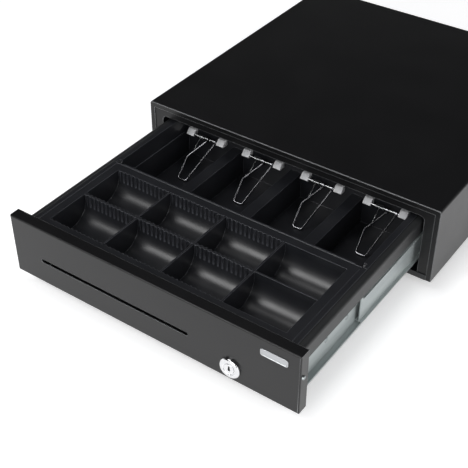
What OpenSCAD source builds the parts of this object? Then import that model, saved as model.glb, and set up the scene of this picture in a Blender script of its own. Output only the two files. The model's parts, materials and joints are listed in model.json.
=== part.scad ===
// Cash drawer: folded steel case, sliding drawer, moulded insert, lift-out coin tray, note clips and cam lock.
// Origin: middle of the four fixing holes, on the underside of the base. The drawer opens towards -Y.

/* [Case] */
// Width of the case
case_w = 410; // [396:1:440]
// Depth of the case
case_d = 415; // [400:1:470]
// Height of the case without its feet
case_h = 102; // [100:1:116]
// Thickness of the steel sheet
sheet = 1.2; // [1:0.1:1.4]
// Outside radius of the case's bends
case_bend = 2.5; // [2:0.1:5]
// Width of the raised lip round the front
lip_w = 7; // [5:0.5:9]
// Width of each post beside the drawer opening
post_w = 19; // [17:0.5:21]
// Height of the beam above the drawer opening
beam_h = 16; // [14:0.5:18]
// Height of the base's front sill
sill_h = 7; // [5:0.5:8]
// Depth of the flange folded back round the opening
return_d = 9; // [6:0.5:12]
// Radius of the opening's top corners
opening_r = 6; // [4:0.5:9]
// Height of the base's side flanges
base_flange = 12; // [10:0.5:14]
// Height of a rubber foot
foot_h = 8; // [5:0.5:12]
// Radius of a rubber foot
foot_r = 11; // [8:0.5:14]
// Distance of the feet from the case's sides
foot_inset = 32; // [25:1:40]
// Hole spacing of the fixing pattern across the base
bolt_x = 300; // [280:1:320]
// Hole spacing of the fixing pattern along the base
bolt_y = 280; // [260:1:300]
// Radius of a fixing hole
bolt_r = 2.75; // [2:0.05:3.5]

// Room behind the closed drawer for its latch and spring
rear_room = 132; // [130:1:150]

/* [Drawer] */
// Length that the drawer opens, as drawn
travel = 250; // [225:1:255]
// Height of the pan's underside above the base
pan_z = 12; // [11.5:0.1:13]
// Drop from the opening's top to the pan's walls
wall_drop = 6; // [5:0.5:8]
// Gap between the drawer's sides and the opening
side_play = 2.3; // [2:0.1:3]
// Width of the front panel
panel_w = 384; // [380:1:394]
// Height of the front panel
panel_h = 79; // [77:0.5:80]
// Depth of the front panel's folded edges
panel_d = 14; // [12:0.5:16]
// Radius of the front panel's bends
panel_bend = 2; // [1.5:0.1:3]
// Gap between the closed panel and the case
panel_gap = 1; // [0.8:0.1:2]
// Height of the panel's lower edge above the base
panel_z = 10; // [9:0.5:11]
// Length of the cheque slot
slot_len = 206; // [150:1:220]
// Height of the cheque slot
slot_h = 5; // [4.5:0.1:5.5]
// Distance of the cheque slot's middle left of the centre
slot_x = 47; // [30:1:60]
// Height of the cheque slot's middle above the base
slot_z = 43.3; // [42:0.1:43.5]

/* [Slides] */
// Thickness of a slide
slide_t = 12.7; // [12.5:0.1:13]
// Height of a slide
slide_h = 45.7; // [44:0.1:46]
// Length of a slide
slide_len = 280; // [270:1:284]
// Radius of a bearing ball
ball_r = 1.5; // [1.3:0.05:1.6]
// Balls in each run
ball_count = 9; // [5:1:12]
// Spacing of the balls
ball_pitch = 15; // [10:1:15]

/* [Lock] */
// Distance of the lock right of the centre
lock_x = 110; // [90:1:125]
// Height of the lock's axis above the base
lock_z = 28; // [26.5:0.1:29]
// Radius of the lock's bezel
bezel_r = 12.5; // [11:0.1:13.5]
// Depth of the lock's bezel
bezel_d = 3.4; // [2.5:0.1:5]
// Radius of the lock's barrel
barrel_r = 9.5; // [8.5:0.1:10]
// Radius of the lock's plug
plug_r = 6; // [5.5:0.1:7]
// Room left round the lock's nut
nut_room = 2.2; // [1.5:0.1:2.8]
// Reach of the cam from the lock's axis
cam_reach = 24.5; // [23:0.1:25]
// Thickness of the cam
cam_t = 2; // [1.5:0.1:2.5]

/* [Insert] */
// Thickness of moulded walls
wall = 2.2; // [1.8:0.1:2.6]
// Clearance round moulded parts
clear = 0.3; // [0.2:0.05:0.5]
// Depth of the front well, front to back
well_len = 139; // [136:0.5:142]
// Width of a note compartment
note_w = 72; // [68:0.5:76]
// Height of the note compartments' floor above the base
note_floor = 22; // [20:0.5:26]
// Height of the ridges between note compartments
ridge_z = 58; // [54:0.5:62]
// Radius of the sweep at the front of a note compartment
note_sweep = 26; // [18:1:32]
// Height of the rim above the pan's walls
rim_rise = 1.5; // [1:0.1:2]
// Width of the rim's overlap on the pan's walls
rim_over = 4; // [3:0.5:6]
// Depth of the coin tray's seat below the rim
seat_drop = 6; // [5:0.5:8]

/* [Coin tray] */
// Width of the coin tray's rim
tray_rim = 8.5; // [7:0.5:10]
// Height of the lip under the rim's edge
tray_lip = 6; // [5:0.5:8]
// Columns of coin pockets
columns = 4; // [3:1:5]
// Rows of coin pockets
rows = 2; // [1:1:2]
// Spacing of the grip ribs
rib_pitch = 6; // [4:0.5:8]
// Thickness of a grip rib
rib_t = 2; // [1.4:0.1:2.6]
// Height of a grip rib off its wall
rib_rise = 1.2; // [0.8:0.1:1.6]

/* [Note clips] */
// Note clips, one to each compartment
clip_count = 4; // [2:1:4]
// Length of a note clip
clip_len = 62.5; // [56:0.5:68]
// Radius of the clip's wire
wire_r = 1.1; // [0.9:0.05:1.3]
// Radius of the clip's rod
rod_r = 1.5; // [1.2:0.05:1.8]
// Distance between a clip's two tabs, middle to middle
tab_gap = 47; // [44:0.5:50]
// Width of a clip's tab
tab_w = 10.5; // [9:0.5:12]
// Shift of each clip left of its compartment's middle
clip_shift = 2.5; // [0:0.5:3.5]
// Width of a clip's tip
tip_w = 12.4; // [10:0.2:14]
// Height of a clip's pivot above the base
clip_z = 60; // [57:0.5:64]
// Distance of a clip's pivot from the rear wall
clip_y = 8; // [6.5:0.5:9]

/* [Latch] */
// Angle that the latch turns between locked and free
latch_angle = 20; // [18:0.5:22]
// Length of the latch's solenoid arm
latch_arm = 22; // [20:0.5:24]
// Radius of the striker's pin
striker_r = 2.5; // [2:0.1:2.8]
// Distance of the striker's pin behind the drawer
striker_reach = 15; // [14.5:0.5:16]
// Distance of the latch's pivot behind the drawer
latch_y = 36; // [35:0.5:38]
// Height of the latch plate above the base
latch_z = 36.5; // [36:0.1:37]
// Thickness of the latch plate
latch_t = 3; // [2.5:0.1:3.2]
// Free length of the eject spring
eject_len = 48; // [44:0.5:52]
// Radius of the eject spring
eject_r = 7; // [6:0.5:8]
// Turns of the eject spring
eject_turns = 7; // [5:1:9]

/* [Hidden] */
$fn = 48;
eps = 0.01;

// Case
half_w = case_w / 2;
front_y = -case_d / 2;
rear_y = case_d / 2;
open_half = half_w - post_w;
open_top = case_h - beam_h;
in_half = half_w - sheet;
in_top = case_h - sheet;
frame_y = front_y + sheet;
socket_x = 150;
socket_z = 32;

// Drawer, closed
drawer_half = open_half - side_play - slide_t;
bracket_x = drawer_half + slide_t;
cap_x = bracket_x - 0.7;
pan_y = front_y - panel_gap;
pan_len = case_d + panel_gap - rear_room;
pan_end = pan_y + pan_len;
pan_top = open_top - wall_drop;
panel_y = pan_y - panel_d;
pan_floor = pan_z + sheet;
pan_in_half = drawer_half - sheet;
pan_in_y = pan_y + sheet;
pan_in_end = pan_end - sheet;

// Slides
slide_z = pan_z + 0.2 + slide_h / 2;
slide_y = front_y + 4;
bracket_y = frame_y + sheet + return_d + 4;
cap_low = slide_z + slide_h / 2 + 2.2;
race = 2 * ball_r + 0.44;
mid_half = slide_h / 2 - sheet - race;
inner_half = mid_half - sheet - race;
mid_low = 2;
mid_high = slide_t - 2;
mid_web = (slide_t - sheet) / 2;
ball_low = 5;
ball_high = slide_t - 3.1;

// Insert and tray
ins_half = pan_in_half - clear;
ins_y = pan_in_y + clear;
ins_end = pan_in_end - clear;
rim_z = pan_top + rim_rise;
ledge_z = rim_z - seat_drop;
well_y = ins_y + wall;
seat_y = ins_y + 1;
seat_end = seat_y + well_len;
note_y = seat_end + wall + 1;
note_end = ins_end - wall;
note_pitch = (2 * ins_half - 2 * wall - note_w) / (clip_count - 1) - 0.5;
tray_half = ins_half - 1 - clear;
tray_y = seat_y + clear;
tray_end = seat_end - clear;
tub_half = tray_half - tray_rim;
tub_y = tray_y + tray_rim;
tub_end = tray_end - tray_rim;
nut_r = barrel_r + 3.6;
house_top = lock_z + nut_r + nut_room;
tray_low = house_top + wall + 1;
tray_h = rim_z - tray_low;
pocket_w = (2 * tub_half - (columns + 1) * wall) / columns;
pocket_d = (tub_end - tub_y - (rows + 1) * wall) / rows;
lock_room = 9;
slot_ease = 6;
house_x1 = lock_x - cam_reach - 7;
house_x2 = lock_x + bezel_r + 3;
house_end = ins_y + 17;
well_front = well_y + tray_rim - 2;
well_back = seat_end - tray_rim + 4;
split_y = seat_end + 1;

// Note clips
note_x = [for (i = [0:clip_count - 1]) (i - (clip_count - 1) / 2) * note_pitch];
clip_x = [for (x = note_x) x - clip_shift];
tab_x = tab_gap / 2;
tab_nose = 3.6;
tab_rise = 8;
pivot_y = note_end - clip_y;
clip_drop = asin((clip_z - note_floor - wire_r - clear) / clip_len);
eye_r = rod_r + 0.06;

// Lock
lock_face = panel_y - bezel_d;
barrel_end = pan_y + sheet + lock_room;
cam_y = barrel_end + 0.2;
keeper_y = cam_y - 2.5;
keeper_w = 30;
keeper_foot = 18;
keeper_pitch = 20;
keeper_hole = 12;

// Latch
pin_y = pan_end + striker_reach;
pivot_x = 16;
latch_pivot_y = pan_end + latch_y;
arm_x = pivot_x + latch_arm;
pull_z = latch_z + latch_t + 1.5;
shelf_z = latch_z - 10.5;
shelf_t = 2;
shelf_y = latch_pivot_y - 9;
shelf_end = latch_pivot_y + 57;
coil_r = 11;
coil_y = latch_pivot_y + 22;
coil_end = coil_y + 30;
plunger_r = 4;
eject_x = -60;
eject_z = 40;
eject_y = pan_end + 37;
eject_wire = 0.9;
eject_w = 28;
eject_top = 12;
eject_foot = 26;
eject_spigot = 16;
shelf_x1 = pivot_x - 12;
shelf_x2 = arm_x + 18;
shelf_foot = 10;

// ---- shapes shared by several parts ----

// Upright rectangle, centred on x, with its two top corners rounded
module top_round(w, h, r) {
    translate([-w / 2, 0]) square([w, h - r]);
    translate([-w / 2 + r, 0]) square([w - 2 * r, h]);
    for (s = [-1, 1]) translate([s * (w / 2 - r), h - r]) circle(r);
}

// Rectangle centred on the origin with four rounded corners
module round_rect(w, h, r) {
    square([w - 2 * r, h], center = true);
    square([w, h - 2 * r], center = true);
    for (sx = [-1, 1]) for (sy = [-1, 1]) translate([sx * (w / 2 - r), sy * (h / 2 - r)]) circle(r);
}

// Extrudes an x-z outline from y1 to y2
module along_y(y1, y2) {
    translate([0, y2, 0]) rotate([90, 0, 0]) linear_extrude(y2 - y1) children();
}

// Extrudes a y-z outline from x1 to x2
module along_x(x1, x2) {
    translate([x1, 0, 0]) rotate([90, 0, 90]) linear_extrude(x2 - x1) children();
}

// Box between two corners
module span(a, b) {
    translate(a) cube([b[0] - a[0], b[1] - a[1], b[2] - a[2]]);
}

// The same part on the right and, mirrored, on the left
module handed(side) {
    if (side > 0) children();
    else mirror([1, 0, 0]) children();
}

// Moves what rides on the drawer out to the open position
module at_drawer() {
    translate([0, -travel, 0]) children();
}

function heading(p, k) = (p[k + 1] - p[k]) / norm(p[k + 1] - p[k]);
function turn(p, k) =
    let(a = heading(p, k - 1), b = heading(p, k)) atan2(a[0] * b[1] - a[1] * b[0], a * b);

// Wire of radius r that follows the x-y points p, with each corner bent to a radius
module bent_wire(p, r, bend) {
    last = len(p) - 1;
    back = [for (k = [0:last]) k == 0 || k == last ? 0 : bend * tan(abs(turn(p, k)) / 2)];
    for (k = [0:last - 1]) {
        d = heading(p, k);
        into = 0.15 * r;
        l = norm(p[k + 1] - p[k]) - back[k] - back[k + 1] + 2 * into;
        translate(concat(p[k] + (back[k] - into) * d, 0)) rotate([0, 90, atan2(d[1], d[0])])
            cylinder(r = 0.96 * r, h = l);
    }
    for (k = [1:last - 1]) {
        d = heading(p, k - 1);
        side = sign(turn(p, k));
        centre = p[k] - back[k] * d + side * bend * [-d[1], d[0]];
        translate(concat(centre, 0)) rotate([0, 0, atan2(d[1], d[0]) - side * 90])
            rotate_extrude(angle = turn(p, k)) translate([bend, 0]) circle(r);
    }
}

// ---- case ----

module case_cover() {
    color("#232425") {
        along_y(front_y, rear_y) difference() {
            top_round(case_w, case_h, case_bend);
            translate([0, -1]) top_round(case_w - 2 * sheet, in_top + 1, case_bend - sheet);
        }
        along_y(front_y, front_y + sheet) difference() {
            top_round(case_w - sheet, case_h - sheet / 2, case_bend - sheet / 2);
            translate([0, -1]) square([case_w - 2 * lip_w, 2 * (case_h - lip_w + 1)], center = true);
        }
    }
}

module base_pan() {
    color("#1e1f20") difference() {
        union() {
            span([-in_half, frame_y, 0], [in_half, rear_y - sheet, sheet]);
            span([-(half_w - lip_w), front_y, 0], [half_w - lip_w, frame_y, sill_h]);
            for (s = [-1, 1]) handed(s)
                span([in_half - sheet, frame_y + sheet, 0], [in_half, rear_y - 2 * sheet, base_flange]);
        }
        for (sx = [-1, 1]) for (sy = [-1, 1])
            translate([sx * bolt_x / 2, sy * bolt_y / 2, -1]) cylinder(r = bolt_r, h = sheet + 2);
    }
}

module front_frame() {
    color("#2c2d2e") {
        along_y(frame_y, frame_y + sheet) difference() {
            translate([0, sheet]) top_round(2 * in_half, in_top - sheet, case_bend - sheet);
            translate([0, -1]) top_round(2 * open_half, open_top + 1, opening_r);
        }
        along_y(frame_y + sheet, frame_y + sheet + return_d) difference() {
            translate([0, sheet]) top_round(2 * (open_half + sheet), open_top, opening_r + sheet);
            translate([0, -1]) top_round(2 * open_half, open_top + 1, opening_r);
        }
    }
}

module rear_panel() {
    socket_w = 15;
    socket_h = 13;
    color("#232425") {
        difference() {
            along_y(rear_y - sheet, rear_y) top_round(2 * in_half, in_top, case_bend - sheet);
            translate([socket_x, rear_y - sheet, socket_z]) cube([socket_w, 4 * sheet, socket_h], center = true);
        }
        span([-in_half + 12, rear_y - 13, sheet], [in_half - 12, rear_y - sheet, 2 * sheet]);
        span([-in_half + 12, rear_y - 13, in_top - sheet], [in_half - 12, rear_y - sheet, in_top]);
    }
}
module interface_socket() {
    color("#3a3b3d") difference() {
        union() {
            translate([socket_x, rear_y - sheet - 8, socket_z]) cube([18, 16, 16], center = true);
            translate([socket_x, rear_y - sheet, socket_z]) cube([14.4, 2 * sheet, 12.4], center = true);
        }
        translate([socket_x, rear_y - 4, socket_z]) cube([10, 16, 8], center = true);
        translate([socket_x, rear_y - 4, socket_z - 5]) cube([5, 16, 4], center = true);
    }
}

module rubber_feet() {
    color("#151515") for (sx = [-1, 1]) for (sy = [-1, 1])
        translate([sx * (half_w - foot_inset), sy * (case_d / 2 - foot_inset), -foot_h]) difference() {
            cylinder(r1 = foot_r - 1, r2 = foot_r, h = foot_h);
            translate([0, 0, -1]) cylinder(r = foot_r / 2.5, h = foot_h / 2 + 1);
        }
}

module cover_screws() {
    head_r = 3.5;
    color("#6e7072") for (s = [-1, 1]) for (z = [0.25, 0.75])
        translate([s * (in_half - 6), rear_y, case_h * z]) rotate([-90, 0, 0]) difference() {
            cylinder(r1 = head_r, r2 = head_r - 1, h = 1.8);
            for (a = [0, 90]) rotate([0, 0, a]) translate([0, 0, 1.8]) cube([4, 0.9, 1.6], center = true);
        }
}

// ---- slides ----

// Channel outline: x is away from the web, y is the height; the lips turn in by hook
module channel(depth, half, t, hook) {
    translate([0, -half]) square([t, 2 * half]);
    for (s = [-1, 1]) {
        translate([0, s > 0 ? half - t : -half]) square([depth, t]);
        translate([depth - t, s > 0 ? half - t - hook : -half]) square([t, t + hook]);
    }
}

module slide_drawer(side) {
    color("#a8adae") handed(side) at_drawer() along_y(slide_y, slide_y + slide_len)
        translate([drawer_half, slide_z]) channel(slide_t - 4, slide_h / 2, sheet, 1.1);
}

module slide_mid(side) {
    color("#b9bdbd") handed(side) translate([0, -travel / 2, 0]) along_y(slide_y, slide_y + slide_len)
        translate([drawer_half, slide_z]) {
            translate([mid_web, -mid_half]) square([sheet, 2 * mid_half]);
            for (s = [-1, 1]) translate([mid_low, s > 0 ? mid_half - sheet : -mid_half])
                square([mid_high - mid_low, sheet]);
        }
}

module slide_case(side) {
    color("#a8adae") handed(side) along_y(bracket_y, slide_y + slide_len)
        translate([bracket_x, slide_z]) mirror([1, 0]) channel(slide_t - 8.2, inner_half, sheet, 0);
}

// A run of balls on its strip; the run starts at y
module ball_run(x, z, y) {
    strip = 0.7;
    translate([x - 1.4, y - ball_pitch / 2, z - strip / 2]) cube([2.8, ball_count * ball_pitch, strip]);
    for (i = [0:ball_count - 1]) translate([x, y + i * ball_pitch, z]) sphere(ball_r, $fn = 20);
}

module ball_cages(side) {
    run = (ball_count - 1) * ball_pitch;
    color("#8b8f90") handed(side) translate([drawer_half, -travel / 2, slide_z]) for (s = [-1, 1]) {
        ball_run(ball_low, s * (mid_half + race / 2), slide_y + ball_pitch);
        ball_run(ball_high, s * (inner_half + race / 2), slide_y + slide_len - ball_pitch - run);
    }
}

module bracket(side) {
    t = 1.5;
    foot_x = in_half;
    top = slide_z + slide_h / 2;
    color("#2a2b2c") handed(side) along_y(bracket_y, slide_y + slide_len) {
        translate([bracket_x, base_flange]) square([t, top - base_flange]);
        translate([bracket_x, base_flange]) square([foot_x - bracket_x, t]);
        translate([bracket_x, top - t]) square([foot_x - bracket_x, t]);
        translate([foot_x - t, top - t]) square([t, 14]);
    }
}

// ---- drawer ----

module drawer_pan() {
    cap_r = 4;
    color("#1c1d1e") at_drawer() difference() {
        union() {
            span([-drawer_half, pan_y, pan_z], [drawer_half, pan_end, pan_floor]);
            span([-drawer_half, pan_y, pan_z], [drawer_half, pan_in_y, pan_top]);
            span([-drawer_half, pan_in_end, pan_z], [drawer_half, pan_end, pan_top]);
            for (s = [-1, 1]) handed(s) along_y(pan_y, pan_end) {
                translate([pan_in_half, pan_z]) square([sheet, pan_top - pan_z]);
                difference() {
                    union() {
                        translate([pan_in_half, cap_low]) square([cap_x - pan_in_half, pan_top - cap_low - cap_r]);
                        translate([pan_in_half, cap_low]) square([cap_x - pan_in_half - cap_r, pan_top - cap_low]);
                        translate([cap_x - cap_r, pan_top - cap_r]) circle(cap_r);
                    }
                    translate([drawer_half, cap_low - 1])
                        square([cap_x - sheet - drawer_half, pan_top - cap_low - cap_r + 1]);
                    translate([drawer_half, cap_low - 1])
                        square([cap_x - cap_r - drawer_half, pan_top - sheet - cap_low + 1]);
                    translate([cap_x - cap_r, pan_top - cap_r]) circle(cap_r - sheet);
                }
            }
        }
        slot_way(pan_y - 1, pan_in_y + 1);
        translate([lock_x, pan_y - 1, lock_z]) rotate([-90, 0, 0]) cylinder(r = barrel_r + 0.2, h = sheet + 2);
        span([lock_x - cam_reach - 3, cam_y - 2, pan_z - 1], [lock_x + 9, cam_y + cam_t + 2, pan_floor + 1]);
    }
}

// The cheque slot, cut from y1 to y2
module media_slot(y1, y2) {
    along_y(y1, y2) translate([-slot_x, slot_z]) {
        square([slot_len - slot_h, slot_h], center = true);
        for (s = [-1, 1]) translate([s * (slot_len - slot_h) / 2, 0]) circle(slot_h / 2);
    }
}

// Wider opening behind the media slot, so that paper doesn't catch
module slot_way(y1, y2) {
    span([-slot_x - slot_len / 2 - slot_ease, y1, slot_z - slot_h / 2 - slot_ease],
        [-slot_x + slot_len / 2 + slot_ease, y2, slot_z + slot_h / 2 + slot_ease]);
}

// The folded panel's solid, shrunk by t all round
module panel_block(t, back) {
    r = max(panel_bend - t, 0.4);
    w = panel_w - 2 * t;
    y0 = panel_y + t;
    z0 = panel_z + t;
    h = panel_h - 2 * t;
    intersection() {
        along_x(-w / 2, w / 2) {
            translate([y0 + r, z0]) square([back - y0 - r, h]);
            translate([y0, z0 + r]) square([r, h - 2 * r]);
            for (z = [z0 + r, z0 + h - r]) translate([y0 + r, z]) circle(r);
        }
        translate([0, 0, z0]) linear_extrude(h) {
            translate([-w / 2, y0 + r]) square([w, back - y0 - r]);
            translate([-w / 2 + r, y0]) square([w - 2 * r, r]);
            for (s = [-1, 1]) translate([s * (w / 2 - r), y0 + r]) circle(r);
        }
    }
}

module front_panel() {
    color("#3a3b3c") at_drawer() difference() {
        panel_block(0, pan_y);
        panel_block(sheet, pan_y + 1);
        media_slot(panel_y - 1, pan_y + 1);
        translate([lock_x, panel_y - 1, lock_z]) rotate([-90, 0, 0]) cylinder(r = barrel_r + 0.2, h = sheet + 2);
    }
}

module panel_screws() {
    color("#a0a3a5") at_drawer() for (s = [-1, 1]) {
        for (z = [0.2, 0.8]) translate([s * drawer_half * 0.9, pan_y, panel_z + panel_h * z]) rotate([90, 0, 0])
            cylinder(r1 = 4, r2 = 3, h = 2.4);
        translate([s * panel_w / 2, panel_y + panel_d * 0.36, panel_z + panel_h * 0.62]) rotate([0, s * 90, 0])
            cylinder(r1 = 2.6, r2 = 2.1, h = 1.6);
    }
}

module striker() {
    arm_t = 2;
    gap = 10;
    mid_z = latch_z + latch_t / 2;
    color("#9a9d9f") at_drawer() {
        span([-12, pan_end, mid_z - 16], [12, pan_end + 1.5, mid_z + 16]);
        for (s = [-1, 1]) translate([-5, pan_end, mid_z + s * (gap + arm_t) / 2 - arm_t / 2])
            cube([10, striker_reach + 4.5, arm_t]);
        translate([0, pin_y, mid_z - gap / 2 - eps]) cylinder(r = striker_r, h = gap + 2 * eps);
    }
}

// ---- moulded insert ----

module note_pocket() {
    top = rim_z + 1;
    along_x(-note_w / 2, note_w / 2) {
        translate([note_y + note_sweep, note_floor]) square([note_end - note_y - note_sweep, top - note_floor]);
        translate([note_y, note_floor + note_sweep]) square([note_sweep + 1, top - note_floor - note_sweep]);
        intersection() {
            translate([note_y + note_sweep, note_floor + note_sweep]) circle(note_sweep);
            translate([note_y, note_floor]) square([note_sweep + 1, note_sweep + 1]);
        }
    }
}

// Solid of the insert from y1 to y2; its rim lies on the pan's walls from rim_y1 to rim_y2
module insert_block(y1, y2, rim_y1, rim_y2) {
    span([-ins_half, y1, pan_floor], [ins_half, y2, rim_z]);
    intersection() {
        translate([0, 0, pan_top]) linear_extrude(rim_rise) difference() {
            translate([0, (pan_y + pan_end) / 2])
                round_rect(2 * (drawer_half + rim_over), pan_len - 2 * clear, 3);
            square([2 * ins_half - 2, pan_len - 2 * rim_over], center = true);
        }
        span([-half_w, rim_y1, 0], [half_w, rim_y2, case_h]);
    }
}

module cash_insert() {
    rim_in = ins_half - tray_rim - 1;
    color("#17181b") at_drawer() difference() {
        insert_block(ins_y, split_y, pan_y, split_y);
        // seat of the coin tray, and the well below it
        span([-(ins_half - 1), seat_y, ledge_z], [ins_half - 1, seat_end, rim_z + 1]);
        span([-rim_in, well_front, pan_floor + wall], [rim_in, well_back, rim_z + 1]);
        // room for the lock
        span([house_x1, ins_y - 1, pan_floor - 1], [house_x2, well_front + 1, house_top]);
        span([house_x1, ins_y - 1, pan_floor - 1], [house_x2, house_end, pan_floor + wall + 1]);
        slot_way(ins_y - 1, well_front + 1);
    }
}

// Cover that keeps notes off the lock and its cam
module lock_cover() {
    foot = pan_floor + wall;
    color("#17181b") at_drawer() difference() {
        span([house_x1 - wall, well_front, foot], [house_x2 + wall, house_end + wall, house_top + wall]);
        span([house_x1, well_front - 1, foot - 1], [house_x2, house_end, house_top]);
    }
}

module note_tray() {
    color("#17181b") at_drawer() difference() {
        insert_block(split_y, ins_end, split_y, pan_end);
        // space above the ridges, then the note compartments
        span([-(ins_half - wall), note_y, ridge_z], [ins_half - wall, note_end, rim_z + 1]);
        for (x = note_x) translate([x, 0, 0]) note_pocket();
        // hollow underside
        span([-(ins_half - wall), note_y + note_sweep / 3, pan_floor - 1],
            [ins_half - wall, ins_end - wall, note_floor - wall]);
        for (i = [0:clip_count - 2]) translate([(note_x[i] + note_x[i + 1]) / 2, 0, 0])
            span([-(note_pitch - note_w) / 2 + wall, note_y + note_sweep, pan_floor - 1],
                [(note_pitch - note_w) / 2 - wall, note_end - wall, ridge_z - wall]);
        // finger notches beside the coin tray
        for (s = [-1, 1]) translate([s * (ins_half - tray_rim / 2), split_y + 3, rim_z])
            rotate([0, 90, 0]) cylinder(r = 4, h = tray_rim * 1.3, center = true);
    }
}

// ---- coin tray ----

function pocket_x(i) = -tub_half + wall + pocket_w / 2 + i * (pocket_w + wall);
function pocket_y(j) = tub_y + wall + pocket_d / 2 + j * (pocket_d + wall);

// Outline of a pocket in y-z, grown by g: upright walls that sweep round into the floor
module scoop(g) {
    r = min(pocket_d / 2 - 4, tray_h - wall - 8);
    z0 = tray_low + wall;
    w = pocket_d / 2 + g;
    for (s = [-1, 1]) translate([s * (w - r - g), z0 + r]) circle(r + g);
    translate([-w, z0 + r]) square([2 * w, rim_z + 1 - z0 - r]);
    translate([-(w - r - g), z0 - g]) square([2 * (w - r - g), r + g]);
}

// Grip ribs along one wall of a pocket
module ribs() {
    n = floor((pocket_w - rib_t) / rib_pitch / 2);
    for (i = [-n:n]) translate([i * rib_pitch - rib_t / 2, 0]) square([rib_t, rib_rise + eps]);
}

module coin_tray() {
    cy = (tray_y + tray_end) / 2;
    rib_low = tray_low + tray_h * 0.36;
    color("#17181b") at_drawer() {
        difference() {
            union() {
                translate([0, cy, rim_z - wall]) linear_extrude(wall)
                    round_rect(2 * tray_half, tray_end - tray_y, 4);
                translate([0, cy, rim_z - tray_lip]) linear_extrude(tray_lip) difference() {
                    round_rect(2 * tray_half, tray_end - tray_y, 4);
                    round_rect(2 * tray_half - 3, tray_end - tray_y - 3, 2.5);
                }
                for (j = [0:rows - 1]) intersection() {
                    translate([0, pocket_y(j), 0]) along_x(-tub_half, tub_half) scoop(wall);
                    span([-tub_half, tub_y, tray_low], [tub_half, tub_end, rim_z]);
                }
            }
            for (i = [0:columns - 1]) for (j = [0:rows - 1]) translate([0, pocket_y(j), 0])
                along_x(pocket_x(i) - pocket_w / 2, pocket_x(i) + pocket_w / 2) scoop(0);
        }
        for (i = [0:columns - 2]) for (j = [0:rows - 1]) for (s = [-1, 1])
            translate([pocket_x(i), pocket_y(j) + s * (pocket_d / 2 + eps), rib_low])
                mirror([0, s > 0 ? 1 : 0, 0]) linear_extrude(rim_z - rib_low) ribs();
    }
}

// ---- note clips ----

module clip_tabs() {
    color("#c9c9cb") at_drawer() for (x = clip_x) for (s = [-1, 1])
        translate([x + s * tab_x, 0, 0]) along_x(-tab_w / 2, tab_w / 2) translate([pivot_y, clip_z]) difference() {
            union() {
                circle(tab_nose);
                translate([0, -tab_nose]) square([clip_y, tab_nose + 1]);
                translate([-tab_nose, 0]) square([clip_y + tab_nose, tab_rise]);
            }
            circle(rod_r + 0.05);
        }
}

module clip_rods() {
    l = tab_gap + tab_w - 2;
    color("#b5b7b9") at_drawer() for (x = clip_x)
        translate([x - l / 2, pivot_y, clip_z]) rotate([0, 90, 0]) cylinder(r = rod_r, h = l);
}

module clip_springs() {
    color("#c4c6c8") at_drawer() for (x = clip_x) translate([x - 12, pivot_y, clip_z]) rotate([0, 90, 0])
        difference() {
            cylinder(r = rod_r + 1.4, h = 11);
            translate([0, 0, -1]) cylinder(r = rod_r + 0.06, h = 13);
        }
}

// Bent wire bail: straight right leg, kinked left leg, both hooked round the rod
module note_clip(i) {
    grip = eye_r + wire_r;
    front = wire_r - clip_len;
    right = tab_x - tab_w / 2 - 3;
    left = 3.5;
    tip_left = -2 - tip_w / 2;
    kink = [tip_left - 3.3, front / 2];
    color("#2a2a2c") translate([clip_x[i], pivot_y - travel, clip_z]) rotate([clip_drop, 0, 0]) {
        bent_wire([[right, -grip], [tip_left + tip_w, front], [tip_left, front], kink, [left, -grip]],
            wire_r, 3 * wire_r);
        for (x = [right, left]) translate([x - 1.6, 0, 0]) rotate([0, 90, 0]) difference() {
            cylinder(r = eye_r + 2 * wire_r, h = 3.2);
            translate([0, 0, -1]) cylinder(r = eye_r, h = 6);
        }
    }
}

// ---- lock ----

module lock_body() {
    color("#c8cacc") at_drawer() translate([lock_x, 0, lock_z]) rotate([-90, 0, 0]) difference() {
        union() {
            translate([0, 0, lock_face]) cylinder(r1 = bezel_r - 1.2, r2 = bezel_r, h = 1.2);
            translate([0, 0, lock_face + 1.2]) cylinder(r = bezel_r, h = bezel_d - 1.2);
            translate([0, 0, panel_y]) cylinder(r = barrel_r, h = barrel_end - panel_y);
        }
        translate([0, 0, lock_face - 1]) cylinder(r = plug_r + 0.06, h = barrel_end - lock_face + 2);
        translate([0, 0, lock_face - 1]) cylinder(r = plug_r + 1.6, h = 1.8);
    }
}

module lock_nut() {
    color("#b7a25a") at_drawer() translate([lock_x, pan_in_y, lock_z]) rotate([-90, 0, 0]) difference() {
        cylinder(r = nut_r, h = 4, $fn = 6);
        translate([0, 0, -1]) cylinder(r = barrel_r + 0.05, h = 6);
    }
}

module lock_plug() {
    key_w = 2;
    color("#d5d7d8") at_drawer() translate([lock_x, 0, lock_z]) rotate([-90, 0, 0]) difference() {
        translate([0, 0, lock_face + 0.3]) cylinder(r = plug_r, h = cam_y - lock_face - 0.3);
        translate([-key_w / 2, -plug_r * 0.6, lock_face - 1]) cube([key_w, plug_r * 1.1, 14]);
        translate([0, plug_r * 0.15, lock_face - 1]) cylinder(r = key_w * 0.75, h = 14);
    }
}

module lock_cam() {
    w = 12;
    color("#b9bbbd") at_drawer() translate([lock_x, cam_y + cam_t, lock_z]) rotate([90, 0, 0]) {
        linear_extrude(cam_t) {
            circle(w / 2);
            translate([-(cam_reach - w / 2), -w / 2]) square([cam_reach - w / 2, w]);
            translate([-(cam_reach - w / 2), 0]) circle(w / 2);
        }
        translate([0, 0, -2.5]) cylinder(r = 4, h = 2.5 + eps, $fn = 6);
    }
}

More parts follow.
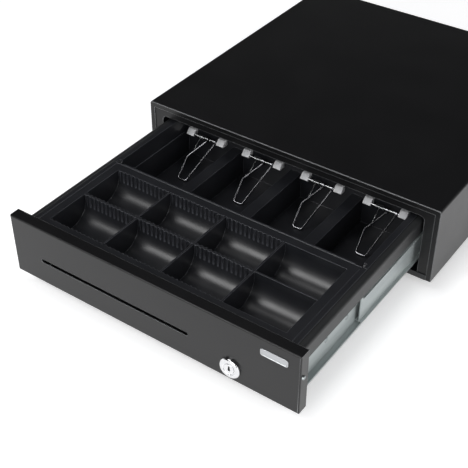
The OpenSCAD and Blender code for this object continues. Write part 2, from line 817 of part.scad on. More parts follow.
module lock_keeper() {
    t = 1.5;
    color("#8e9193") difference() {
        union() {
            span([lock_x - keeper_w / 2, keeper_y, sheet], [lock_x + keeper_w / 2, keeper_y + t, pan_z - 3]);
            span([lock_x - keeper_w / 2, keeper_y, sheet],
                [lock_x + keeper_w / 2, keeper_y + keeper_foot, sheet + t]);
        }
        for (s = [-1, 1]) translate([lock_x + s * keeper_pitch / 2, keeper_y + keeper_hole, 0])
            cylinder(r = 1.7, h = 6);
    }
}

// ---- latch ----

module latch_bracket() {
    leg = 2;
    color("#8e9193") {
        span([shelf_x1, shelf_y, shelf_z - shelf_t], [shelf_x2, shelf_end, shelf_z]);
        for (x = [shelf_x1, shelf_x2 - leg])
            span([x, shelf_y, sheet], [x + leg, shelf_end, shelf_z - shelf_t]);
        for (x = [shelf_x1 - shelf_foot, shelf_x2])
            span([x, shelf_y, sheet], [x + shelf_foot, shelf_end, sheet + leg]);
    }
}

module latch_pivot() {
    color("#b5b7b9") translate([pivot_x, latch_pivot_y, shelf_z]) {
        cylinder(r = 5.5, h = latch_z - shelf_z - 0.2);
        cylinder(r = 3, h = latch_z - shelf_z + latch_t + 1);
        translate([0, 0, latch_z - shelf_z + latch_t + 0.3]) cylinder(r = 4.5, h = 1);
    }
}

// Flat latch, drawn hooked round the striker and turned back to its free place
module latch_lever() {
    jaw = striker_r + 1;
    jaw_t = 4;
    reach = latch_pivot_y - pin_y + jaw + jaw_t;
    color("#a4a7a9") translate([pivot_x, latch_pivot_y, latch_z]) rotate([0, 0, latch_angle]) {
        difference() {
            linear_extrude(latch_t) {
                circle(9);
                translate([-9, -reach]) square([9, reach]);
                translate([-pivot_x - 3, -reach]) square([pivot_x + 3, jaw_t]);
                translate([0, -5]) square([latch_arm, 10]);
                translate([latch_arm, 0]) circle(5);
            }
            translate([0, 0, -1]) cylinder(r = 3.05, h = latch_t + 2);
        }
        translate([latch_arm, 0, latch_t - eps]) cylinder(r = 1.5, h = 4);
    }
}

module solenoid_plunger() {
    pull = latch_arm * sin(latch_angle);
    slot_y = latch_pivot_y + pull;
    tongue_t = 2;
    color("#9fa2a4") difference() {
        union() {
            translate([arm_x, slot_y + 8, pull_z]) rotate([-90, 0, 0]) cylinder(r = plunger_r, h = 30);
            span([arm_x - 6.5, slot_y - 4.5, pull_z - tongue_t / 2], [arm_x + 5, slot_y + 9, pull_z + tongue_t / 2]);
        }
        translate([arm_x - 3.4, slot_y - 1.8, pull_z - 3]) cube([5.2, 3.6, 6]);
    }
}

module solenoid_frame() {
    t = 2;
    w = 13;
    top = pull_z + coil_r + 1;
    color("#7e8183") difference() {
        union() {
            span([arm_x - w, coil_y, shelf_z], [arm_x + w, coil_end, shelf_z + t]);
            for (y = [coil_y, coil_end - t]) span([arm_x - w, y, shelf_z], [arm_x + w, y + t, top]);
        }
        translate([arm_x, coil_y - 1, pull_z]) rotate([-90, 0, 0]) cylinder(r = plunger_r + 0.3, h = t + 2);
    }
}

module solenoid_coil() {
    t = 2;
    color("#3b2a1c") translate([arm_x, coil_y + t, pull_z]) rotate([-90, 0, 0]) difference() {
        cylinder(r = coil_r, h = coil_end - coil_y - 2 * t);
        translate([0, 0, -1]) cylinder(r = plunger_r + 0.3, h = coil_end - coil_y);
    }
}

module eject_bracket() {
    t = 2;
    color("#8e9193") {
        span([eject_x - eject_w / 2, eject_y, sheet], [eject_x + eject_w / 2, eject_y + t, eject_z + eject_top]);
        span([eject_x - eject_w / 2, eject_y, sheet],
            [eject_x + eject_w / 2, eject_y + eject_foot, sheet + t]);
        translate([eject_x, eject_y + eps, eject_z]) rotate([90, 0, 0])
            cylinder(r = eject_r - 2 * eject_wire - 0.5, h = eject_spigot);
    }
}

// Open coil, drawn as rings: its free length runs from the bracket towards the drawer
module eject_spring() {
    pitch = (eject_len - 2 * eject_wire) / eject_turns;
    color("#c4c6c8") translate([eject_x, eject_y, eject_z]) rotate([90, 0, 0]) {
        for (i = [0:eject_turns]) translate([0, 0, eject_wire + i * pitch])
            rotate_extrude() translate([eject_r - eject_wire, 0]) circle(eject_wire, $fn = 16);
        for (i = [0:eject_turns - 1]) rotate([0, 0, i * 150]) translate([eject_r - eject_wire, 0, eject_wire + i * pitch])
            cylinder(r = eject_wire * 0.8, h = pitch);
    }
}

case_cover();
base_pan();
front_frame();
rear_panel();
rubber_feet();
cover_screws();
bracket(-1);  // bracket_left
bracket(1);  // bracket_right
slide_case(-1);  // slide_case_left
slide_case(1);  // slide_case_right
lock_keeper();
latch_bracket();
latch_pivot();
solenoid_frame();
solenoid_coil();
eject_bracket();
eject_spring();
interface_socket();
slide_mid(-1);  // slide_mid_left
ball_cages(-1);  // ball_cages_left
slide_mid(1);  // slide_mid_right
ball_cages(1);  // ball_cages_right
drawer_pan();
front_panel();
slide_drawer(-1);  // slide_drawer_left
slide_drawer(1);  // slide_drawer_right
striker();
cash_insert();
lock_cover();
note_tray();
clip_tabs();
clip_rods();
clip_springs();
lock_body();
lock_nut();
panel_screws();
lock_plug();
lock_cam();
coin_tray();
note_clip(0);  // note_clip_1
note_clip(1);  // note_clip_2
note_clip(2);  // note_clip_3
note_clip(3);  // note_clip_4
latch_lever();
solenoid_plunger();
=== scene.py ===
import json
import math
import bmesh
import bpy
from mathutils import Matrix, Vector


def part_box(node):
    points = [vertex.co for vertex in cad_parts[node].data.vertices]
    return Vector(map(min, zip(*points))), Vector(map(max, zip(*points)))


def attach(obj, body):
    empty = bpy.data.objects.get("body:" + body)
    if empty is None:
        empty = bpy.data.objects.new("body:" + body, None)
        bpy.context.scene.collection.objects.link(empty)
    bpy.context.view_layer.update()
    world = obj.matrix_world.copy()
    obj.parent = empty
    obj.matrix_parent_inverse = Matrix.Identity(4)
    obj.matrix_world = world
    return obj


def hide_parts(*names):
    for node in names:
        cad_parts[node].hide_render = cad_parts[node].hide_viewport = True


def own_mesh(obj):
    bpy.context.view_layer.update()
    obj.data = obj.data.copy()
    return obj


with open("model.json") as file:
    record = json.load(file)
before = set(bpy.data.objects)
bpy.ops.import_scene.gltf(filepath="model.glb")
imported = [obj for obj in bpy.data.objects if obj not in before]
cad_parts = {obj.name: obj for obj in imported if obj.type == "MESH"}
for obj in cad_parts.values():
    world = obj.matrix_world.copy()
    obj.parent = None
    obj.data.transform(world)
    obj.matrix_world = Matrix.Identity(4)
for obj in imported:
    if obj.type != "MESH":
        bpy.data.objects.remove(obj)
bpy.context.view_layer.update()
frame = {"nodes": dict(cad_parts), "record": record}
nodes = frame["nodes"]
scene = bpy.context.scene
scene.view_settings.view_transform = "Standard"
mm = 0.001
print("frame loaded:", len(nodes), "nodes")


def linear(hexColour):  # sRGB hex to linear RGBA
    parts = [int(hexColour[i:i + 2], 16) / 255 for i in (1, 3, 5)]
    return tuple(c / 12.92 if c < 0.04045 else ((c + 0.055) / 1.055) ** 2.4 for c in parts) + (1.0,)


def addNode(tree, kind, settings=None, values=None, links=None):
    node = tree.nodes.new(kind)
    for key, value in (settings or {}).items():
        setattr(node, key, value)
    for key, value in (values or {}).items():
        node.inputs[key].default_value = value
    for key, source in (links or {}).items():
        tree.links.new(source, node.inputs[key])
    return node


view = {"place": (516.2, -1040.2, 755.7), "turn": 35.3, "dip": 38.5, "lens": 75.9}  # mm and degrees

camera = bpy.data.objects.new("camera", bpy.data.cameras.new("camera"))
camera.location = [v * mm for v in view["place"]]
camera.rotation_euler = (math.radians(90 - view["dip"]), 0, math.radians(view["turn"]))
camera.data.lens = view["lens"]
camera.data.sensor_width = 36
camera.data.clip_start = 0.01
camera.data.clip_end = 50
scene.collection.objects.link(camera)
scene.camera = camera


# 1 for the rays that look at the background: straight, off gloss or through glass
def seenRays(tree):
    path = addNode(tree, "ShaderNodeLightPath").outputs
    first = addNode(tree, "ShaderNodeMath", {"operation": "MAXIMUM"},
                    links={0: path["Is Camera Ray"], 1: path["Is Glossy Ray"]})
    return addNode(tree, "ShaderNodeMath", {"operation": "MAXIMUM"},
                   links={0: first.outputs[0], 1: path["Is Transmission Ray"]}).outputs[0]


def newMaterial(name):
    material = bpy.data.materials.new(name)
    material.use_nodes = True
    tree = material.node_tree
    tree.nodes.clear()
    out = addNode(tree, "ShaderNodeOutputMaterial")
    shader = addNode(tree, "ShaderNodeBsdfPrincipled")
    tree.links.new(shader.outputs[0], out.inputs["Surface"])
    return material, tree, shader


# where the painted edge highlight starts and where it is full
paintedHighlightBand = {"starts": 0.995, "full": 0.9}  # cosine between a face's normal and its rounded one


# One finish: a colour that drifts a little, a roughness that drifts a little, grain as bump, and for some a
# painted highlight along the edges
def finish(name, look):
    material, tree, shader = newMaterial(name)
    place = addNode(tree, "ShaderNodeTexCoord").outputs["Object"]
    stretch = addNode(tree, "ShaderNodeMapping", values={"Scale": look.get("stretch", (1, 1, 1))},
                      links={"Vector": place}).outputs["Vector"]
    drift = addNode(tree, "ShaderNodeTexNoise",
                    values={"Scale": 1 / (look["driftSize"] * mm), "Detail": 3.0}, links={"Vector": stretch})
    colour = addNode(tree, "ShaderNodeMix", {"data_type": "RGBA"},
                     {"A": linear(look["colour"]), "B": linear(look["colourTo"])},
                     {"Factor": drift.outputs["Fac"]})
    rough = addNode(tree, "ShaderNodeMapRange",
                    values={"To Min": look["rough"][0], "To Max": look["rough"][1]},
                    links={"Value": drift.outputs["Fac"]})
    grain = addNode(tree, "ShaderNodeTexNoise",
                    values={"Scale": 1 / (look["grainSize"] * mm), "Detail": 2.0}, links={"Vector": stretch})
    edge = addNode(tree, "ShaderNodeBevel", {"samples": 6}, {"Radius": look.get("edge", 0.4) * mm})
    tone = colour.outputs["Result"]
    if "paintedEdgeHighlight" in look:  # painted highlight: edges, concave ones too, are painted lighter in place of the glints along them; little of it is real wear
        faceNormal = addNode(tree, "ShaderNodeNewGeometry").outputs["True Normal"]
        turned = addNode(tree, "ShaderNodeVectorMath", {"operation": "DOT_PRODUCT"},
                         links={0: edge.outputs["Normal"], 1: faceNormal})
        paintedHighlightMask = addNode(tree, "ShaderNodeMapRange",
                       values={"From Min": paintedHighlightBand["starts"], "From Max": paintedHighlightBand["full"]},
                       links={"Value": turned.outputs["Value"]})
        tone = addNode(tree, "ShaderNodeMix", {"data_type": "RGBA"}, {"B": linear(look["paintedEdgeHighlight"])},
                       {"A": tone, "Factor": paintedHighlightMask.outputs["Result"]}).outputs["Result"]
    bump = addNode(tree, "ShaderNodeBump",
                   values={"Strength": look["grain"], "Distance": look.get("depth", 0.05) * mm},
                   links={"Height": grain.outputs["Fac"], "Normal": edge.outputs["Normal"]})
    tree.links.new(tone, shader.inputs["Base Color"])
    tree.links.new(rough.outputs["Result"], shader.inputs["Roughness"])
    tree.links.new(bump.outputs["Normal"], shader.inputs["Normal"])
    shader.inputs["Metallic"].default_value = look.get("metal", 0.0)
    if "ior" in look:
        shader.inputs["IOR"].default_value = look["ior"]
    shader.inputs["Specular IOR Level"].default_value = look.get("shine", 0.5)
    return material


finishes = {  # sizes in mm: how far colour drifts, how coarse and deep the grain is, how wide an edge's rounding and painted highlight are
    # polyester powder, baked: a satin black with a fine orange peel that blurs reflections; its edges carry a
    # pale painted highlight
    "powderCoat": {"colour": "#111112", "colourTo": "#151516", "driftSize": 40, "rough": (0.26, 0.34),
                   "grainSize": 0.9, "grain": 0.35, "depth": 0.06, "edge": 1.5, "ior": 1.5, "shine": 0.34,
                   "paintedEdgeHighlight": "#a2a4a6"},
    # black painted sheet inside the drawer: thinner paint, a little duller; its edges carry a grey painted
    # highlight
    "paintedSheet": {"colour": "#1b1c1d", "colourTo": "#212223", "driftSize": 30, "rough": (0.4, 0.52),
                     "grainSize": 0.7, "grain": 0.3, "edge": 0.8, "ior": 1.5, "paintedEdgeHighlight": "#505153"},
    # ABS moulded in a spark-eroded tool: bluish black, satin, with a painted highlight along its edges and
    # rib corners
    "mouldedAbs": {"colour": "#17181b", "colourTo": "#1d1e22", "driftSize": 25, "rough": (0.28, 0.38),
                   "grainSize": 0.6, "grain": 0.2, "edge": 0.6, "ior": 1.54, "shine": 0.55,
                   "paintedEdgeHighlight": "#585a60"},
    # zinc plate with clear passivation over rolled steel: pale, streaked along the rolling direction
    "zincPlate": {"colour": "#a0a8a9", "colourTo": "#bac1c0", "driftSize": 6, "rough": (0.4, 0.52),
                  "grainSize": 0.5, "grain": 0.15, "edge": 0.3, "metal": 0.35, "stretch": (1, 0.06, 1)},
    # pressed zinc-plated brackets: the same plate, no streaks
    "zincPressed": {"colour": "#8f9697", "colourTo": "#a9afaf", "driftSize": 12, "rough": (0.32, 0.45),
                    "grainSize": 0.6, "grain": 0.15, "edge": 0.3, "metal": 1.0},
    # bearing and spring steel, polished by wear
    "brightSteel": {"colour": "#b3b5b7", "colourTo": "#c6c8c9", "driftSize": 5, "rough": (0.16, 0.26),
                    "grainSize": 0.4, "grain": 0.08, "edge": 0.2, "metal": 1.0},
    # nickel-plated spring wire: dark where the compartments are, with bright glints
    "springWire": {"colour": "#8b8b8f", "colourTo": "#a0a0a4", "driftSize": 4, "rough": (0.18, 0.28),
                   "grainSize": 0.3, "grain": 0.1, "edge": 0.2, "metal": 1.0},
    # polished chrome on die-cast zinc: near mirror with faint wipe marks
    "polishedChrome": {"colour": "#d3d4d6", "colourTo": "#dededf", "driftSize": 3, "rough": (0.05, 0.12),
                       "grainSize": 0.5, "grain": 0.03, "edge": 0.25, "metal": 1.0},
    # acetal clip tabs: pale grey, slightly waxy, with a near-white painted highlight along their edges
    "acetal": {"colour": "#c2c2c5", "colourTo": "#cecfd0", "driftSize": 8, "rough": (0.34, 0.42),
               "grainSize": 0.5, "grain": 0.1, "edge": 0.8, "ior": 1.48, "paintedEdgeHighlight": "#f2f2f4"},
    # moulded rubber feet: matt
    "footRubber": {"colour": "#141414", "colourTo": "#1c1c1c", "driftSize": 6, "rough": (0.75, 0.9),
                   "grainSize": 0.8, "grain": 0.4, "edge": 0.6, "ior": 1.52},
    # turned brass nut
    "turnedBrass": {"colour": "#a98f4e", "colourTo": "#b79d5c", "driftSize": 5, "rough": (0.25, 0.35),
                    "grainSize": 0.4, "grain": 0.1, "edge": 0.2, "metal": 1.0},
    # varnished tape over the solenoid's winding
    "coilTape": {"colour": "#33241a", "colourTo": "#402d20", "driftSize": 4, "rough": (0.3, 0.45),
                 "grainSize": 1.0, "grain": 0.3, "edge": 0.3, "ior": 1.5},
    # brushed anodised aluminium of the bare front plate
    "brushedPlate": {"colour": "#a4a6a8", "colourTo": "#b6b8ba", "driftSize": 3, "rough": (0.26, 0.36),
                     "grainSize": 0.4, "grain": 0.15, "edge": 0.2, "metal": 1.0, "stretch": (0.05, 1, 1)},
}
finishes["pressedCoat"] = dict(finishes["powderCoat"], edge=0.5)  # the same coat round a narrow slot's edges, with narrower rounding and a narrower painted edge highlight
made = {name: finish(name, look) for name, look in finishes.items()}

slotFinish = {
    "black_powder_coat": "powderCoat", "black_pan": "paintedSheet", "foot_rubber": "footRubber",
    "zinc_screw": "zincPressed", "zinc_slide": "zincPlate", "bearing_steel": "brightSteel",
    "zinc_bracket": "zincPressed", "coil_wrap": "coilTape", "socket_plastic": "mouldedAbs",
    "insert_plastic": "mouldedAbs", "tab_plastic": "acetal", "clip_wire": "springWire",
    "lock_chrome": "polishedChrome", "lock_nut_brass": "turnedBrass",
}
for part in frame["record"]["subparts"]:
    mesh = nodes[part["node"]].data
    mesh.materials.clear()
    mesh.materials.append(made[slotFinish[part["material_slot"]]])
print("materials made:", len(made))


# A mesh as a finished piece: at the origin, faces outwards, riding on a body
def addPiece(name, mesh, finishName, body, smooth=40):
    piece = bpy.data.objects.new(name, mesh)
    scene.collection.objects.link(piece)
    mesh.materials.clear()
    mesh.materials.append(made[finishName])
    for polygon in mesh.polygons:
        polygon.material_index = 0
    if smooth:
        mesh.shade_smooth()
        mesh.set_sharp_from_angle(angle=math.radians(smooth))
    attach(piece, body)
    return piece


# The plain mesh that a Geometry Nodes tree makes; inputs are set by the sockets' identifiers
def growMesh(name, tree, values):
    host = bpy.data.objects.new(name, bpy.data.meshes.new(name))
    scene.collection.objects.link(host)
    modifier = host.modifiers.new("grow", "NODES")
    modifier.node_group = tree
    for item in tree.interface.items_tree:
        if item.in_out == "INPUT" and item.name in values:
            modifier[item.identifier] = values[item.name]
    bpy.context.view_layer.update()
    result = bpy.data.meshes.new_from_object(host.evaluated_get(bpy.context.evaluated_depsgraph_get()))
    result.name = name
    bpy.data.objects.remove(host)
    return result


def newTree(name, sockets):
    tree = bpy.data.node_groups.new(name, "GeometryNodeTree")
    tree.is_modifier = True
    for title, kind, value in sockets:
        socket = tree.interface.new_socket(title, in_out="INPUT", socket_type=kind)
        socket.default_value = value
    tree.interface.new_socket("Geometry", in_out="OUTPUT", socket_type="NodeSocketGeometry")
    return tree, tree.nodes.new("NodeGroupInput").outputs


def endTree(tree, geometry, material):
    real = addNode(tree, "GeometryNodeRealizeInstances", links={"Geometry": geometry})
    done = addNode(tree, "GeometryNodeSetMaterial", values={"Material": material},
                   links={"Geometry": real.outputs[0]})
    tree.links.new(done.outputs[0], tree.nodes.new("NodeGroupOutput").inputs[0])


def moved(mesh, matrix):
    mesh.transform(matrix)
    return mesh


def joined(name, meshes):
    whole = bmesh.new()
    for mesh in meshes:
        whole.from_mesh(mesh)
    result = bpy.data.meshes.new(name)
    whole.to_mesh(result)
    whole.free()
    return result


softening = {"merge": 0.01, "flat": 1.5, "corner": 35, "segments": 2}  # merge in mm, angles in degrees


# A copy of CAD nodes with their doubles merged, flat areas joined and edges rounded
def roundedCopy(name, nodeNames, width):
    form = bmesh.new()
    for nodeName in nodeNames:
        form.from_mesh(nodes[nodeName].data)
    bmesh.ops.remove_doubles(form, verts=form.verts, dist=softening["merge"] * mm)
    bmesh.ops.dissolve_limit(form, angle_limit=math.radians(softening["flat"]), verts=form.verts,
                             edges=form.edges)
    mesh = bpy.data.meshes.new(name)
    form.to_mesh(mesh)
    form.free()
    host = bpy.data.objects.new(name, mesh)
    scene.collection.objects.link(host)
    bevel = host.modifiers.new("round", "BEVEL")
    bevel.width = width * mm
    bevel.segments = softening["segments"]
    bevel.limit_method = "ANGLE"
    bevel.angle_limit = math.radians(softening["corner"])
    bevel.use_clamp_overlap = True
    for polygon in mesh.polygons:
        polygon.use_smooth = True
    normals = host.modifiers.new("normals", "WEIGHTED_NORMAL")
    normals.mode = "FACE_AREA"
    normals.weight = 100  # large faces stay flat
    normals.keep_sharp = True
    bpy.context.view_layer.update()
    result = bpy.data.meshes.new_from_object(host.evaluated_get(bpy.context.evaluated_depsgraph_get()))
    bpy.data.objects.remove(host)
    return result


# The CAD's own sheets and mouldings with soft edges; the radius is in mm
rounded = [
    {"name": "coverShell", "nodes": ["case_cover"], "radius": 0.55, "finish": "powderCoat"},
    {"name": "frameShell", "nodes": ["front_frame"], "radius": 0.45, "finish": "powderCoat"},
    {"name": "frontShell", "nodes": ["front_panel"], "radius": 0.5, "finish": "pressedCoat"},
    {"name": "drawerPan", "nodes": ["drawer_pan"], "radius": 0.4, "finish": "paintedSheet"},
    {"name": "noteMoulding", "nodes": ["note_tray"], "radius": 0.5, "finish": "mouldedAbs"},
    {"name": "wellMoulding", "nodes": ["cash_insert"], "radius": 0.5, "finish": "mouldedAbs"},
    {"name": "coinMoulding", "nodes": ["coin_tray"], "radius": 0.3, "finish": "mouldedAbs"},
    {"name": "lockBezel", "nodes": ["lock_body"], "radius": 0.4, "finish": "polishedChrome"},
    {"name": "lockCore", "nodes": ["lock_plug"], "radius": 0.3, "finish": "polishedChrome"},
]
bodyOf = {node: body for body, names in frame["record"]["behaviour"]["bodies"].items() for node in names}
for item in rounded:
    first = item["nodes"][0]
    mesh = roundedCopy(item["name"], item["nodes"], item["radius"])
    piece = addPiece(item["name"], mesh, item["finish"], bodyOf[first], smooth=0)
    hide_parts(*item["nodes"])
print("edges rounded:", len(rounded))

# Tabs over the clips' rods: each face leans back. The side's points (y, z) are in mm from the rod's centre
clipTab = {
    "side": [(8.0, -3.2), (8.0, 4.4), (6.6, 5.4), (2.3, 5.4), (-3.4, -1.0), (-2.2, -2.4), (-0.6, -3.2)],
    "edge": 0.5,
}


def looseSpans(nodeName):  # left and right end of each loose part of a CAD node
    form = bmesh.new()
    form.from_mesh(nodes[nodeName].data)
    bmesh.ops.remove_doubles(form, verts=form.verts, dist=softening["merge"] * mm)
    waiting = set(form.verts)
    spans = []
    while waiting:
        queue = [waiting.pop()]
        across = []
        while queue:
            vert = queue.pop()
            across.append(vert.co.x)
            near = {edge.other_vert(vert) for edge in vert.link_edges} & waiting
            waiting -= near
            queue.extend(near)
        spans.append((min(across), max(across)))
    form.free()
    return sorted(spans)


def clipTabs():
    low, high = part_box("clip_rods")
    middle = (low + high) / 2
    form = bmesh.new()
    for ends in looseSpans("clip_tabs"):
        left, right = [[form.verts.new((x, middle.y + y * mm, middle.z + z * mm))
                        for y, z in clipTab["side"]] for x in ends]
        for n in range(-1, len(left) - 1):
            form.faces.new((left[n], left[n + 1], right[n + 1], right[n]))
        form.faces.new(left)
        form.faces.new(reversed(right))
    bmesh.ops.recalc_face_normals(form, faces=form.faces)
    bmesh.ops.bevel(form, geom=form.edges[:], offset=clipTab["edge"] * mm, segments=softening["segments"],
                    profile=0.5, affect="EDGES", clamp_overlap=True)
    mesh = bpy.data.meshes.new("clipEars")
    form.to_mesh(mesh)
    form.free()
    return mesh


piece = addPiece("clipEars", clipTabs(), "acetal", bodyOf["clip_tabs"])
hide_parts("clip_tabs")
print("clip tabs made")

wireSides = 10  # sides of every drawn wire
alongX = Matrix.Rotation(math.radians(90), 4, "Y")  # lays what stands along z
forward = Matrix.Rotation(math.radians(90), 4, "X")  # points what stands along z at the front

# A wound wire: a spiral along z that carries a ring
coilTree, entry = newTree("coilTree", [
    ("Radius", "NodeSocketFloat", 0.006), ("Wire", "NodeSocketFloat", 0.001),
    ("Turns", "NodeSocketFloat", 7.0), ("Length", "NodeSocketFloat", 0.05), ("Steps", "NodeSocketInt", 24)])
spiral = addNode(coilTree, "GeometryNodeCurveSpiral",
                 links={"Resolution": entry["Steps"], "Rotations": entry["Turns"], "Height": entry["Length"],
                        "Start Radius": entry["Radius"], "End Radius": entry["Radius"]})
ring = addNode(coilTree, "GeometryNodeCurvePrimitiveCircle", values={"Resolution": wireSides},
               links={"Radius": entry["Wire"]})
tube = addNode(coilTree, "GeometryNodeCurveToMesh", values={"Fill Caps": True},
               links={"Curve": spiral.outputs[0], "Profile Curve": ring.outputs[0]})
endTree(coilTree, tube.outputs[0], made["brightSteel"])

# A straight wire that starts at the origin and runs along z
rodTree, entry = newTree("rodTree", [("Wire", "NodeSocketFloat", 0.001), ("Length", "NodeSocketFloat", 0.02)])
rod = addNode(rodTree, "GeometryNodeMeshCylinder", values={"Vertices": wireSides},
              links={"Radius": entry["Wire"], "Depth": entry["Length"]})
half = addNode(rodTree, "ShaderNodeMath", {"operation": "MULTIPLY"}, {1: 0.5}, {0: entry["Length"]})
shift = addNode(rodTree, "ShaderNodeCombineXYZ", links={"Z": half.outputs[0]})
seated = addNode(rodTree, "GeometryNodeTransform",
                 links={"Geometry": rod.outputs[0], "Translation": shift.outputs[0]})
endTree(rodTree, seated.outputs[0], made["brightSteel"])


def coilMesh(name, size, length):
    return growMesh(name, coilTree, {"Radius": size["radius"] * mm, "Wire": size["wire"] * mm,
                                     "Turns": size["turns"], "Length": length, "Steps": size["steps"]})


# Eject spring: it fills the length of the CAD's spring
ejectCoil = {"radius": 6.1, "wire": 0.9, "turns": 7.0, "steps": 24}  # radii of the coil and its wire in mm
low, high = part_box("eject_spring")
mesh = coilMesh("ejectCoil", ejectCoil, high.y - low.y - 2 * ejectCoil["wire"] * mm)
place = Matrix.Translation(((low.x + high.x) / 2, high.y - ejectCoil["wire"] * mm, (low.z + high.z) / 2))
moved(mesh, place @ forward)
piece = addPiece("ejectCoil", mesh, "brightSteel", "case")
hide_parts("eject_spring")
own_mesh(piece)
print("eject coil made")

# Torsion springs round the clips' rods: the coil stays with the tabs, its leg lies on the clip
torsionCoil = {"radius": 2.5, "wire": 0.5, "turns": 9.0, "steps": 24, "low": -11.4, "high": -1.6}  # mm
springLeg = {"wire": 0.5, "length": 20.0, "lift": 2.5, "drop": 35.8, "side": -6.0}  # mm, drop in degrees
joints = {joint["child"]: joint for joint in frame["record"]["behaviour"]["joints"]}
coils = []
for name in sorted(n for n in nodes if n.startswith("note_clip_")):
    pivot = Vector(joints[name]["pos_m"])
    coil = coilMesh("torsion", torsionCoil, (torsionCoil["high"] - torsionCoil["low"]) * mm)
    start = pivot + Vector((torsionCoil["low"] * mm, 0, 0))
    coils.append(moved(coil, Matrix.Translation(start) @ alongX))
    leg = growMesh("leg", rodTree, {"Wire": springLeg["wire"] * mm, "Length": springLeg["length"] * mm})
    lean = Matrix.Translation(pivot) @ Matrix.Rotation(math.radians(springLeg["drop"]), 4, "X")
    lay = Matrix.Translation((springLeg["side"] * mm, 0, springLeg["lift"] * mm)) @ forward
    addPiece("springLeg" + name[-1], moved(leg, lean @ lay), "brightSteel", name)
piece = addPiece("torsionCoils", joined("torsionCoils", coils), "brightSteel", "drawer")
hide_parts("clip_springs")
print("clip springs made")

# Rivets that hold the slides: domed heads in a row, on the outer face of each drawer member's web
rivet = {"radius": 3.2, "dome": 0.35, "first": 22, "pitch": 42, "count": 3, "face": 1.2}  # mm
rivetRows = {"rivetsLeft": "slide_drawer_left", "rivetsRight": "slide_drawer_right"}

rivetTree, entry = newTree("rivetTree", [
    ("Radius", "NodeSocketFloat", 0.0024), ("Pitch", "NodeSocketFloat", 0.04), ("Count", "NodeSocketInt", 3)])
head = addNode(rivetTree, "GeometryNodeMeshUVSphere", values={"Segments": 20, "Rings": 10},
               links={"Radius": entry["Radius"]})
domed = addNode(rivetTree, "GeometryNodeTransform", values={"Scale": (rivet["dome"], 1.0, 1.0)},
                links={"Geometry": head.outputs[0]})
step = addNode(rivetTree, "ShaderNodeCombineXYZ", links={"Y": entry["Pitch"]})
row = addNode(rivetTree, "GeometryNodeMeshLine", links={"Count": entry["Count"], "Offset": step.outputs[0]})
heads = addNode(rivetTree, "GeometryNodeInstanceOnPoints",
                links={"Points": row.outputs[0], "Instance": domed.outputs[0]})
endTree(rivetTree, heads.outputs[0], made["zincPressed"])

for name, node in rivetRows.items():
    low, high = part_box(node)
    side = 1 if low.x > 0 else -1
    inner = low.x if side > 0 else high.x
    mesh = growMesh(name, rivetTree, {"Radius": rivet["radius"] * mm, "Pitch": rivet["pitch"] * mm,
                                      "Count": rivet["count"]})
    place = Vector((inner + side * rivet["face"] * mm, low.y + rivet["first"] * mm, (low.z + high.z) / 2))
    addPiece(name, moved(mesh, Matrix.Translation(place)), "zincPressed", bodyOf[node])
print("rivets made")

# Bare plate on the front, dished inside a narrow rim; the centre is across and up, all in mm
plate = {"centre": (161.8, 72.4), "size": (32.5, 9.2), "thick": 0.9, "corner": 2.6, "least": 1.4,
         "rim": 0.9, "slope": 0.25, "dish": 0.35}


def plateOutline(width, height, corner, steps=6):  # a rectangle with round corners
    points = []
    for cx, cz, start in ((1, 1, 0), (-1, 1, 90), (-1, -1, 180), (1, -1, 270)):
        for n in range(steps + 1):
            turn = math.radians(start + 90 * n / steps)
            points.append((cx * (width / 2 - corner) + corner * math.cos(turn),
                           cz * (height / 2 - corner) + corner * math.sin(turn)))
    return points


def platePiece():
    w, h = plate["size"]
    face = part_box("front_panel")[0].y
    slope, thick, rim = plate["slope"], plate["thick"], plate["rim"]
    rings = [(0.0, 0.0), (0.0, thick - slope), (slope, thick), (rim, thick),
             (rim + slope, thick - plate["dish"])]  # how far in, how far out
    form = bmesh.new()
    loops = []
    for inset, lift in rings:
        outline = plateOutline(w - 2 * inset, h - 2 * inset, max(plate["corner"] - inset, plate["least"]))
        loops.append([form.verts.new(((x + plate["centre"][0]) * mm, face - lift * mm,
                                      (z + plate["centre"][1]) * mm)) for x, z in outline])
    for a, b in zip(loops, loops[1:]):
        for n in range(-1, len(a) - 1):
            form.faces.new((a[n], a[n + 1], b[n + 1], b[n]))
    form.faces.new(loops[-1])
    form.faces.new(reversed(loops[0]))
    bmesh.ops.recalc_face_normals(form, faces=form.faces)
    mesh = bpy.data.meshes.new("barePlate")
    form.to_mesh(mesh)
    form.free()
    return mesh


addPiece("barePlate", platePiece(), "brushedPlate", "drawer")
print("bare plate made")

# The floor under the feet; it turns white between near and far. Metres, but low and gap in mm
stage = {"floor": "#f6f6f6", "size": 14.0, "near": 0.8, "far": 2.4, "low": -8.0, "gap": 0.2}
lamps = [  # place and aim in mm, size in mm, watts
    {"name": "key", "place": (-890, -1670, 1800), "aim": (0, -300, 60), "size": 900, "power": 18},
    {"name": "frontSoft", "place": (300, -2200, 700), "aim": (0, -300, 40), "size": 1500, "power": 26},
    {"name": "rightSoft", "place": (2300, -500, 900), "aim": (100, -100, 40), "size": 1500, "power": 19},
    {"name": "overhead", "place": (-150, -150, 2300), "aim": (0, -150, 60), "size": 600, "power": 12},
]
# What lights the object, and what gloss and the camera see; from and to are heights in the sky
room = {"fill": "#d9dade", "strength": 0.34, "wall": "#ffffff", "ceiling": "#1a1a1c",
        "from": 0.0, "to": 0.35, "floorGlow": 0.37}

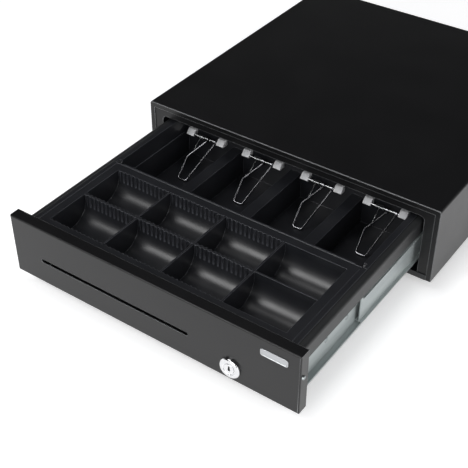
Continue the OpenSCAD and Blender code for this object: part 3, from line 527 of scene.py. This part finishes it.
floor = bpy.data.objects.new("floor", bpy.data.meshes.new("floor"))
half = stage["size"] / 2
low = (stage["low"] - stage["gap"]) * mm
floor.data.from_pydata([(-half, -half, low), (half, -half, low), (half, half, low), (-half, half, low)], [],
                       [(0, 1, 2, 3)])
floorMaterial, tree, shader = newMaterial("paleFloor")
shader.inputs["Base Color"].default_value = linear(stage["floor"])
shader.inputs["Roughness"].default_value = 0.9
shader.inputs["Specular IOR Level"].default_value = 0.0
shader.inputs["Emission Color"].default_value = linear("#ffffff")
spot = addNode(tree, "ShaderNodeTexCoord").outputs["Object"]
far = addNode(tree, "ShaderNodeVectorMath", {"operation": "LENGTH"}, links={0: spot}).outputs["Value"]
glow = addNode(tree, "ShaderNodeMapRange", {"interpolation_type": "SMOOTHSTEP"},
               {"From Min": stage["near"], "From Max": stage["far"], "To Min": room["floorGlow"]},
               {"Value": far}).outputs["Result"]
seenGlow = addNode(tree, "ShaderNodeMath", {"operation": "MULTIPLY"}, links={0: seenRays(tree), 1: glow})
tree.links.new(seenGlow.outputs[0], shader.inputs["Emission Strength"])
floor.data.materials.append(floorMaterial)
scene.collection.objects.link(floor)

for lamp in lamps:
    data = bpy.data.lights.new(lamp["name"], "AREA")
    data.shape = "SQUARE"
    data.size = lamp["size"] * mm
    data.energy = lamp["power"]
    light = bpy.data.objects.new(lamp["name"], data)
    light.location = [v * mm for v in lamp["place"]]
    way = Vector(lamp["aim"]) - Vector(lamp["place"])
    light.rotation_euler = way.to_track_quat("-Z", "Y").to_euler()
    scene.collection.objects.link(light)

world = bpy.data.worlds.new("studio")
scene.world = world
world.use_nodes = True
tree = world.node_tree
tree.nodes.clear()
way = addNode(tree, "ShaderNodeTexCoord").outputs["Generated"]
height = addNode(tree, "ShaderNodeSeparateXYZ", links={"Vector": way}).outputs["Z"]
rise = addNode(tree, "ShaderNodeMapRange", {"interpolation_type": "SMOOTHSTEP"},
               {"From Min": room["from"], "From Max": room["to"]}, {"Value": height}).outputs["Result"]
sky = addNode(tree, "ShaderNodeMix", {"data_type": "RGBA"},
              {"A": linear(room["wall"]), "B": linear(room["ceiling"])}, {"Factor": rise})
lit = addNode(tree, "ShaderNodeBackground",
              values={"Color": linear(room["fill"]), "Strength": room["strength"]})
pale = addNode(tree, "ShaderNodeBackground", values={"Strength": 1.0}, links={"Color": sky.outputs["Result"]})
both = addNode(tree, "ShaderNodeMixShader", links={0: seenRays(tree), 1: lit.outputs[0], 2: pale.outputs[0]})
tree.links.new(both.outputs[0], addNode(tree, "ShaderNodeOutputWorld").inputs["Surface"])
print("stage and light set")
